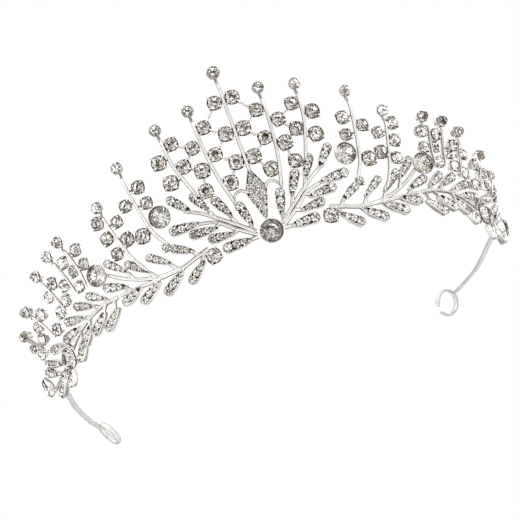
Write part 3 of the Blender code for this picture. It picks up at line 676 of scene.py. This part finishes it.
def add_leaf(metal, stones, base, end, width, side):
    run = (end[0] - base[0], end[1] - base[1])
    length = hypot(*run)
    turn = atan2(-run[0] * side, run[1])
    middle = ((base[0] + end[0]) / 2, (base[1] + end[1]) / 2)
    placement = band_frame(middle[0] * side, middle[1], 0.0, turn)
    placement = placement @ Matrix.Translation((0.0, -length / 2 * MM, 0.0))
    add_dish(metal, placement, leaf_outline(length, width))
    for place, diameter in leaf_stones(length, width):
        shift = random.uniform(-0.05, 0.05)
        spot = placement @ Matrix.Translation((shift * MM, place * MM, PAVE_OUT * MM))
        add_paved_stone(metal, stones, spot, diameter)


def kite_outline():
    """Lance-shaped centre leaf, widest two thirds of the way up."""
    right = [(0.5, 3.9), (1.9, 8.2), (2.7, 10.7), (3.1, 12.0), (3.05, 12.9), (1.7, 15.8), (0.4, 18.4)]
    return right + [(-across, up) for across, up in reversed(right)]


def add_centre_leaf(metal, stones):
    """Paved centre leaf and the arched wires that join its shoulders to the nearest spikes."""
    placement = band_frame(0.0, 0.0)
    add_dish(metal, placement, kite_outline())
    for across, up, diameter in KITE_STONES:
        spot = placement @ Matrix.Translation((across * MM, up * MM, PAVE_OUT * MM))
        add_paved_stone(metal, stones, spot, diameter)
    for side in (-1, 1):
        add_stem(metal, KITE_ARCH, side, 0.40, -0.8)


# Wires

def add_wire(pile, line, profile, radii, paint=SILVER):
    """Wire along points with their outward directions; the profile's Y looks outwards."""
    points = [point for point, outwards in line]
    rings = []
    for index, (point, outwards) in enumerate(line):
        ahead = run_at(points, index)
        across = ahead.cross(outwards).normalized()
        upright = across.cross(ahead).normalized()
        radius = radii(index / (len(line) - 1)) * MM
        rings.append([point + (across * x + upright * y) * radius for x, y in profile])
    add_loft(pile, rings, [paint] * (len(rings) - 1))


def add_grooved_wire(pile, line, radii):
    """Wire with a groove along its front and a thin strip of painted shade along each edge."""
    add_wire(pile, line, WIRE_PROFILE, radii)
    for edge_shade_profile in (LEFT_EDGE_SHADE, RIGHT_EDGE_SHADE):
        add_wire(pile, line, edge_shade_profile, radii, EDGE_SHADE)


def on_band(points, side, step):
    """World points and outward directions of a smooth line through flat positions."""
    return [(band_point(point.x * side, point.y, point.z), band_outward(point.x * side))
            for point in smooth_line(points, step)]


def add_stem(pile, points, side, radius=STEM_RADIUS, out=STEM_OUT):
    line = on_band([(along, up, out) for along, up in points], side, 1.1)
    add_grooved_wire(pile, line, lambda part: radius * (1.12 - 0.30 * part + 0.05 * sin(part * 23.0)))


def spike_radius(part):
    """Half width of a spike's wire, which starts pointed and then tapers towards its tip."""
    return (SPIKE_RADIUS - SPIKE_TAPER * part) * min(1.0, 0.45 + part * 14.0)


def link_radius(part):
    """Half width along a link, over its given radius; it is thicker at its soldered ends."""
    return 0.85 + 0.5 * (2.0 * part - 1.0) ** 2


def add_spike(metal, stones, spike, side, diameter, depth):
    """Tapered grooved wire with its deep cup and tip stone, and the settings that hang on it."""
    wire = spike["wire"]
    along, up = spike["tip"]
    last = Vector(wire[-1])
    away = Vector((along, up)) - last
    reach = max(4.0, away.y * 0.45)
    near_tip = last + away * max(0.2, 1.0 - reach / away.length)
    path = [(point[0], point[1], SPIKE_OUT) for point in wire]
    path += [(near_tip.x, near_tip.y, SPIKE_OUT), (along - away.x * 0.12, up - 2.4, -0.9),
             (along, up - 0.5, -1.6)]
    add_grooved_wire(metal, on_band(path, side, 1.2), spike_radius)
    add_tip_setting(metal, stones, along * side, up, diameter, depth)
    for cup_along, cup_up, cup_diameter in spike["cups"]:
        add_small_setting(metal, stones, cup_along * side, cup_up, cup_diameter)
        foot = wire_place(spike, cup_up)
        wall = cup_along + copysign(cup_diameter * LINK_REACH, foot - cup_along)
        add_link(metal, (wall * side, cup_up, -1.0), (foot * side, cup_up, 0.2), 0.34)


def wire_place(spike, height):
    """Where along the band a spike's wire passes at a height."""
    points = list(spike["wire"]) + [spike["tip"]]
    for low, high in zip(points, points[1:]):
        if low[1] <= height <= high[1]:
            return low[0] + (high[0] - low[0]) * (height - low[1]) / (high[1] - low[1])
    return points[0][0] if height < points[0][1] else points[-1][0]


def add_link(pile, start, end, radius):
    """Short round bar between two flat positions, with a line of painted shade along its front."""
    line = on_band([start, end], 1, 0.8)
    for profile, paint in ((ROUND_PROFILE, SILVER), (LINK_FRONT_SHADE, EDGE_SHADE)):
        add_wire(pile, line, profile, lambda part: radius * link_radius(part), paint)


def add_bar(pile, start, end):
    """Link between two settings of a lattice, with a bead at its middle."""
    first, second = Vector(start[:2]), Vector(end[:2])
    run = (second - first).normalized()
    first += run * start[2] * LINK_REACH
    second -= run * end[2] * LINK_REACH
    add_link(pile, (first.x, first.y, LATTICE_OUT), (second.x, second.y, LATTICE_OUT), 0.36)
    middle = band_frame((start[0] + end[0]) / 2, (start[1] + end[1]) / 2, LATTICE_OUT + 0.1)
    add_bead(pile, middle, 0.52, 0.9)


def fill_lattice(cups, bars):
    """Metal and stones of a lattice of small settings joined by bars."""
    metal, stones = Pile(), Pile()
    for along, up, diameter in cups:
        add_small_setting(metal, stones, along, up, diameter)
    for first, second in bars:
        add_bar(metal, cups[first], cups[second])
    return metal, stones


# Materials

def node_material(name):
    material = bpy.data.materials.new(name)
    material.use_nodes = True
    tree = material.node_tree
    return material, tree, tree.nodes["Principled BSDF"]


def set_inputs(node, values):
    for name, value in values.items():
        node.inputs[name].default_value = value


def node_metal(name):
    material, tree, shader = node_material(name)
    set_inputs(shader, {"Metallic": 1.0})
    return material, tree, shader


def add_noise(tree, scale, detail, space="Object"):
    place = tree.nodes.new("ShaderNodeTexCoord")
    pattern = tree.nodes.new("ShaderNodeTexNoise")
    set_inputs(pattern, {"Scale": scale, "Detail": detail})
    tree.links.new(place.outputs[space], pattern.inputs["Vector"])
    return pattern.outputs["Fac"]


def add_ramp(tree, value, stops):
    ramp = tree.nodes.new("ShaderNodeValToRGB")
    points = ramp.color_ramp.elements
    while len(points) < len(stops):
        points.new(0.5)
    for point, (position, colour) in zip(points, stops):
        point.position = position
        point.color = (*colour, 1.0)
    tree.links.new(value, ramp.inputs["Fac"])
    return ramp.outputs["Color"]


def add_range(tree, value, low, high, lowest=0.0):
    spread = tree.nodes.new("ShaderNodeMapRange")
    set_inputs(spread, {"From Min": lowest, "To Min": low, "To Max": high})
    tree.links.new(value, spread.inputs["Value"])
    return spread.outputs["Result"]


def add_grain(tree, shader, scale, strength):
    """Fine uneven surface of a plated part."""
    bump = tree.nodes.new("ShaderNodeBump")
    set_inputs(bump, {"Strength": strength, "Distance": GRAIN_DEPTH})
    tree.links.new(add_noise(tree, scale, 3.0), bump.inputs["Height"])
    tree.links.new(bump.outputs["Normal"], shader.inputs["Normal"])


def add_speckle(tree, shader, scale, detail, stops):
    """Base colour that varies by a ramp over a noise pattern."""
    colour = add_ramp(tree, add_noise(tree, scale, detail), stops)
    tree.links.new(colour, shader.inputs["Base Color"])


def add_product(tree, first, second):
    """Colour that is two colours multiplied."""
    both = tree.nodes.new("ShaderNodeMix")
    both.data_type = "RGBA"
    both.blend_type = "MULTIPLY"
    set_inputs(both, {"Factor": 1.0})
    tree.links.new(first, both.inputs[6])
    tree.links.new(second, both.inputs[7])
    return both.outputs[2]


def add_uneven_polish(tree, shader, scale, smoothest, roughest):
    polish = add_range(tree, add_noise(tree, scale, 2.0), smoothest, roughest)
    tree.links.new(polish, shader.inputs["Roughness"])


def add_tarnish_and_shade(tree, shader, colour):
    """Darken the hollows of a metal: partly tarnish where the plating is never polished, partly painted
    shade where less light reaches.
    """
    shape = tree.nodes.new("ShaderNodeNewGeometry")
    hollow_tarnish_and_shade = add_ramp(tree, shape.outputs["Pointiness"],
                       ((0.38, (0.34, 0.31, 0.27)), (0.47, (0.88, 0.87, 0.85)), (0.51, WHITE)))
    tree.links.new(add_product(tree, colour, hollow_tarnish_and_shade), shader.inputs["Base Color"])


def silver_plate():
    """Bright rhodium-white plating over a slightly uneven casting."""
    material, tree, shader = node_metal("silver_plate")
    colour = add_ramp(tree, add_noise(tree, 900.0, 3.0),
                      ((0.30, (0.92, 0.92, 0.91)), (0.60, (0.98, 0.98, 0.97))))
    # Hollows darkened: tarnish and painted shade.
    add_tarnish_and_shade(tree, shader, colour)
    add_uneven_polish(tree, shader, 1500.0, 0.16, 0.38)
    add_grain(tree, shader, 1400.0, 0.12)
    return material


def gilt_shade_seam():
    """Dark brown-gold lining of the settings and the leaves' sunk floors: partly a warm metal tone, partly
    painted shade along the rims and in the recesses.
    """
    material, tree, shader = node_metal("gilt_shade_seam")
    add_speckle(tree, shader, 700.0, 3.0, ((0.35, (0.06, 0.034, 0.016)),
                                                   (0.55, (0.20, 0.115, 0.055)), (0.72, (0.50, 0.38, 0.26))))
    add_uneven_polish(tree, shader, 1200.0, 0.2, 0.5)
    return material


def groove_shade():
    """Painted shade: dull grey lines along the edges of wires and strips and along the fronts of links."""
    material, tree, shader = node_metal("groove_shade")
    add_speckle(tree, shader, 300.0, 2.0, ((0.35, (0.30, 0.28, 0.26)), (0.65, (0.42, 0.40, 0.38))))
    add_uneven_polish(tree, shader, 300.0, 0.45, 0.6)
    return material


def cut_crystal():
    """Clear glass of the stones' crowns."""
    material, tree, shader = node_material("crystal")
    set_inputs(shader, {"Transmission Weight": 1.0, "IOR": 1.56, "Roughness": 0.0})
    add_speckle(tree, shader, 250.0, 2.0, ((0.35, (0.93, 0.94, 0.92)), (0.65, WHITE)))
    return material


def stone_foil(name, shade):
    """Mirror backing of the stones, with a few brown spots that are painted coloured glints; the darker
    copies for the large stones and the centre stone are painted shade.
    """
    material, tree, shader = node_metal(name)
    set_inputs(shader, {"Roughness": 0.015})
    glint_tint, bright, brightest = [tuple(part * shade for part in colour) for colour in FOIL_COLOURS]
    add_speckle(tree, shader, 1100.0, 2.0, ((0.29, glint_tint), (0.34, bright), (0.70, brightest)))
    return material


def strip_plate():
    """Whitish plating of the arms, with a fine grain."""
    material, tree, shader = node_material("arm_strip")
    set_inputs(shader, {"Metallic": 0.42})
    add_speckle(tree, shader, 350.0, 3.0, ((0.34, (0.82, 0.82, 0.81)), (0.48, (0.90, 0.90, 0.89)),
                                                   (0.62, (0.95, 0.95, 0.94))))
    add_uneven_polish(tree, shader, 500.0, 0.32, 0.48)
    add_grain(tree, shader, 600.0, 0.10)
    return material


# Sub-parts

def build_centre():
    """Centre stone in its cup, the leaf and the spike above it, and the lattice behind them."""
    metal, stones = Pile(), Pile()
    placement = band_frame(CENTRE_STONE[0], CENTRE_STONE[1], CENTRE_OUT)
    add_round_cup(metal, placement, CENTRE_STONE[2] * 0.94, CUP_DEPTH, 0.7, 0.22, 40)
    make_metal("centre_cup", metal, ["centre_setting"])
    add_stone(stones, placement, CENTRE_STONE[2] * CUP_FIT, "large", 0.03)
    make_stones("centre_cut_stone", stones, ["centre_stone"], CENTRE_STONES)
    leaf, leaf_pave = Pile(), Pile()
    add_centre_leaf(leaf, leaf_pave)
    make_metal("centre_leaf_plate", leaf, ["centre_leaf"])
    make_stones("centre_leaf_stones", leaf_pave, [], STONES)
    build_spike("centre_spike", CENTRE_SPIKE, 1, CENTRE_TIP[2], 2.3, "centre_tip_stone")
    bars = [(low, low + 1) for low in range(len(CENTRE_LATTICE) - 1)]
    cups = [(along * side, up, diameter) for side in (-1, 1) for along, up, diameter in CENTRE_LATTICE]
    count = len(CENTRE_LATTICE)
    bars += [(first + count, second + count) for first, second in bars]
    bars += [(index, index + count) for index in range(count) if CENTRE_LATTICE[index][0] < JOINED_ACROSS]
    metal, stones = fill_lattice(cups, bars)
    make_metal("centre_lattice_settings", metal, ["centre_lattice"])
    make_stones("centre_lattice_stones", stones, [], STONES)


def build_spike(name, spike, side, diameter, depth, tip_node):
    metal, stones = Pile(), Pile()
    add_spike(metal, stones, spike, side, diameter, depth)
    make_metal(name + "_wire", metal, [name])
    make_stones(name + "_stones", stones, [tip_node], STONES)


def build_branch(side_name, side, name, leaves, stems, big, extras):
    """Leaf spray with its stems, its large stone in a smooth cup, and its own small settings."""
    metal, stones = Pile(), Pile()
    for base, end, width in leaves:
        add_leaf(metal, stones, base, end, width, side)
    for stem in stems:
        add_stem(metal, stem, side)
    for along, up, diameter in extras:
        add_small_setting(metal, stones, along * side, up, diameter)
    placement = band_frame(BIG_STONES[big - 1][0] * side, BIG_STONES[big - 1][1])
    placement = placement @ Matrix.Rotation(TURNED_STONES.get((side, big), 0.0), 4, "Y")
    add_round_cup(metal, placement, BIG_DIAMETER * CUP_FIT, CUP_DEPTH, 0.62, 0.18, 36)
    large = Pile()
    add_stone(large, placement, BIG_DIAMETER * CUP_FIT, "large", 0.05)
    make_stones(f"{side_name}_cut_stone_{big}", large, [f"{side_name}_side_stone_{big}"], LARGE_STONES)
    branch = f"{side_name}_{name}_branch"
    make_metal(branch + "_spray", metal, [branch])
    make_stones(branch + "_stones", stones, [], STONES)


def drop_outline(width, length):
    """Drop with a pointed top and a round bottom, centred on the origin, anticlockwise."""
    half = width / 2
    low = -length / 2 + half
    bowl = [(half * cos(turn), low + half * sin(turn))
            for turn in (radians(180 + 20 * step) for step in range(10))]
    return bowl + [(half * 0.86, length * 0.10), (half * 0.52, length * 0.30), (0.12, length / 2),
                   (-0.12, length / 2), (-half * 0.52, length * 0.30), (-half * 0.86, length * 0.10)]


def stacked(outline, levels):
    """Rings of one outline, each with its own size and height."""
    return [[Vector((across * factor * MM, up * factor * MM, height * MM)) for across, up in outline]
            for factor, height in levels]


def build_end_stone(side_name, side):
    """Drop-shaped stone in a drop-shaped cup."""
    placement = band_frame(END_STONE[0] * side, END_STONE[1])
    metal, stones = Pile(), Pile()
    cup = drop_outline(END_STONE_WIDTH, END_STONE_LENGTH)
    stone = drop_outline(END_STONE_WIDTH - 0.4, END_STONE_LENGTH - 0.5)
    # The cup's inner wall is dark gilt: painted shade round the stone.
    add_loft(metal, stacked(cup, END_CUP_LEVELS), [SILVER] * 5 + [SHADED_GILT] * 2, placement)
    add_loft(stones, stacked(stone, END_CUT_LEVELS), [FOIL] * 2 + [GLASS] * 3, placement)
    make_metal(f"{side_name}_drop_cup", metal, [])
    make_stones(f"{side_name}_drop_stone", stones, [f"{side_name}_end_stone"], STONES)


def build_side(side_name, side):
    """Lattice, spikes, leaf sprays and end stone of one side."""
    cups = [(along * side, up, diameter) for along, up, diameter in SIDE_LATTICE]
    metal, stones = fill_lattice(cups, SIDE_LATTICE_BARS)
    make_metal(f"{side_name}_lattice_settings", metal, [f"{side_name}_lattice"])
    make_stones(f"{side_name}_lattice_stones", stones, [], STONES)
    for number, spike in enumerate(SPIKES, start=1):
        bent = dict(spike, tip=BENT_TIPS.get((side_name, number), spike["tip"]))
        build_spike(f"{side_name}_spike_{number}", bent, side, TIP_DIAMETER, 2.1,
                    f"{side_name}_tip_stone_{number}")
    build_branch(side_name, side, "inner", INNER_LEAVES, INNER_STEMS, 1, (LOW_STONE,))
    build_branch(side_name, side, "middle", MIDDLE_LEAVES, MIDDLE_STEMS, 2, (SHOULDER_STONE,))
    build_branch(side_name, side, "outer", OUTER_LEAVES, OUTER_STEMS, 3, ())
    build_end_stone(side_name, side)


# Arms

def arm_strip(side_name):
    """Middle line of an arm and the strip's width direction at each point, up to its loop."""
    line = smooth_line(ARM_LINES[side_name], ARM_STEP)
    return line, [run_at(line, index).cross(VERTICAL).normalized() for index in range(len(line))]


def loop_strip(side_name, join):
    """Middle line and width directions of the open ring that passes through the arm's end."""
    turn, lean, joined_at, start = [radians(angle) for angle in LOOPS[side_name]]
    ahead = Vector((cos(turn), sin(turn), 0.0))
    upward = VERTICAL * cos(lean) + ahead.cross(VERTICAL) * sin(lean)
    centre = join - (ahead * cos(joined_at) + upward * sin(joined_at)) * LOOP_RADIUS
    line = []
    for step in range(LOOP_STEPS + 1):
        place = start + LOOP_SWEEP * step / LOOP_STEPS
        line.append(centre + (ahead * cos(place) + upward * sin(place)) * LOOP_RADIUS)
    return line, [ahead.cross(upward)] * len(line)


def add_strip(pile, line, widths, profile, paint):
    """Strip along a line in the crown's own frame, narrower at its two ends."""
    rings = []
    for index, (point, width) in enumerate(zip(line, widths)):
        run = run_at(line, index).normalized()
        across = (width - run * width.dot(run)).normalized()
        upright = run.cross(across)
        taper = 0.6 if index in (0, len(line) - 1) else 1.0
        rings.append([(point + across * x * ARM_WIDTH * taper + upright * y * ARM_THICKNESS * taper) * MM
                      for x, y in profile])
    add_loft(pile, rings, [paint] * (len(rings) - 1), STAND)


def add_lined_strip(pile, line, widths):
    """Strip with a thin line of painted shade along each of its edges."""
    add_strip(pile, line, widths, STRIP_PROFILE, STRIP_FACE)
    for across, height in STRIP_SHADE_LINES:
        corners = [(across + x * LINE_HALF, height + y * LINE_HALF)
                   for x, y in ((1, -1), (1, 1), (-1, 1), (-1, -1))]
        add_strip(pile, line, widths, corners, STRIP_EDGE_SHADE)


def build_arm(side_name):
    """Narrow grooved strip with an open ring soldered to its end."""
    line, widths = arm_strip(side_name)
    pile = Pile()
    add_lined_strip(pile, line, widths)
    add_lined_strip(pile, *loop_strip(side_name, line[-1]))
    joint = STAND @ Matrix.Translation(line[-1] * MM)
    add_bead(pile, joint, SOLDER_RADIUS, 0.8, 12, 8)
    arm = make_piece(f"{side_name}_arm_strip", pile, STRIP, SMOOTH_ANGLE,
                     [f"{side_name}_arm"], None)
    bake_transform(arm)


# Stage

def build_floor():
    """Pale floor that is seen from above only, because the photograph looks up past it."""
    mesh = bpy.data.meshes.new("floor")
    corners = [(x * FLOOR_HALF, y * FLOOR_HALF, 0.0) for x, y in ((-1, -1), (1, -1), (1, 1), (-1, 1))]
    mesh.from_pydata(corners, [], [(0, 1, 2, 3)])
    floor = add_object("floor", mesh)
    material, tree, shader = node_material("pale_floor")
    set_inputs(shader, {"Roughness": 0.7})
    add_speckle(tree, shader, 6.0, 3.0, ((0.3, (0.82, 0.82, 0.82)), (0.7, (0.86, 0.86, 0.86))))
    clear = tree.nodes.new("ShaderNodeBsdfTransparent")
    facing = tree.nodes.new("ShaderNodeNewGeometry")
    choice = tree.nodes.new("ShaderNodeMixShader")
    tree.links.new(facing.outputs["Backfacing"], choice.inputs["Fac"])
    tree.links.new(shader.outputs["BSDF"], choice.inputs[1])
    tree.links.new(clear.outputs["BSDF"], choice.inputs[2])
    tree.links.new(choice.outputs["Shader"], tree.nodes["Material Output"].inputs["Surface"])
    mesh.materials.append(material)
    floor.visible_glossy = False
    floor.visible_transmission = False


def build_world(toward_camera):
    """White studio; what the stones and the metal mirror also has a dark side and a few dark flags."""
    world = bpy.data.worlds.new("studio")
    bpy.context.scene.world = world
    world.use_nodes = True
    tree = world.node_tree
    place = tree.nodes.new("ShaderNodeTexCoord")
    dot = tree.nodes.new("ShaderNodeVectorMath")
    dot.operation = "DOT_PRODUCT"
    dot.inputs[1].default_value = toward_camera
    tree.links.new(place.outputs["Generated"], dot.inputs[0])
    dark_side = add_ramp(tree, add_range(tree, dot.outputs["Value"], 0.0, 1.0, -1.0),
                         ((0.16, (0.78, 0.78, 0.78)), (0.24, (0.21, 0.20, 0.19)), (0.36, (0.21, 0.20, 0.19)),
                          (0.46, WHITE), (0.965, WHITE), (0.985, (0.16, 0.14, 0.125))))
    flags = add_ramp(tree, add_noise(tree, 6.0, 1.0, "Generated"),
                     ((0.44, (0.20, 0.18, 0.162)), (0.49, (0.62, 0.592, 0.572)), (0.60, WHITE)))
    mirrored = tree.nodes["Background"]
    set_inputs(mirrored, {"Strength": WORLD_STRENGTH})
    tree.links.new(add_product(tree, dark_side, flags), mirrored.inputs["Color"])
    backdrop = tree.nodes.new("ShaderNodeBackground")
    set_inputs(backdrop, {"Color": (*WHITE, 1.0)})
    path = tree.nodes.new("ShaderNodeLightPath")
    choice = tree.nodes.new("ShaderNodeMixShader")
    tree.links.new(path.outputs["Is Camera Ray"], choice.inputs["Fac"])
    tree.links.new(mirrored.outputs["Background"], choice.inputs[1])
    tree.links.new(backdrop.outputs["Background"], choice.inputs[2])
    tree.links.new(choice.outputs["Shader"], tree.nodes["World Output"].inputs["Surface"])


def camera_axes():
    """Right, up and back directions of the camera in the crown's own frame."""
    back = Vector((sin(CAMERA_AZIMUTH) * cos(CAMERA_ELEVATION),
                   -cos(CAMERA_AZIMUTH) * cos(CAMERA_ELEVATION), sin(CAMERA_ELEVATION)))
    right = VERTICAL.cross(back).normalized()
    up = back.cross(right)
    rolled_right = right * cos(CAMERA_ROLL) + up * sin(CAMERA_ROLL)
    rolled_up = up * cos(CAMERA_ROLL) - right * sin(CAMERA_ROLL)
    return rolled_right, rolled_up, back


def build_camera():
    right, up, back = camera_axes()
    place = right * CAMERA_AIM[0] + up * CAMERA_AIM[1] + back * CAMERA_DISTANCE
    camera = add_object("camera", bpy.data.cameras.new("camera"))
    camera.data.lens = CAMERA_LENS
    camera.data.clip_start = 0.01
    camera.data.clip_end = 10.0
    axes = Matrix((right, up, back)).transposed().to_4x4()
    camera.matrix_world = STAND @ Matrix.Translation(place * MM) @ axes
    bpy.context.scene.camera = camera
    bpy.context.scene.view_settings.view_transform = "Standard"
    return STAND.to_3x3() @ back


def build_lights():
    """Two large soft boxes: one high in front, one behind."""
    for name, place, size, power in LIGHTS:
        light = bpy.data.lights.new(name, "AREA")
        light.size = size
        light.energy = power
        lamp = add_object(name, light)
        lamp.location = place
        lamp.rotation_euler = Vector(place).to_track_quat("Z", "Y").to_euler()


random.seed(SEED)
METALS = [silver_plate(), gilt_shade_seam(), groove_shade()]
CRYSTAL = cut_crystal()
STONES = [CRYSTAL, stone_foil("stone_foil", 0.97)]
# Darker foils of the large and centre stones: painted shade.
LARGE_STONES = [CRYSTAL, stone_foil("large_stone_shaded_foil", 0.83)]
CENTRE_STONES = [CRYSTAL, stone_foil("centre_stone_shaded_foil", 0.74)]
STRIP = [strip_plate(), METALS[2]]
build_centre()
for side_name, side in SIDES:
    build_side(side_name, side)
    build_arm(side_name)
build_floor()
build_world(build_camera())
build_lights()
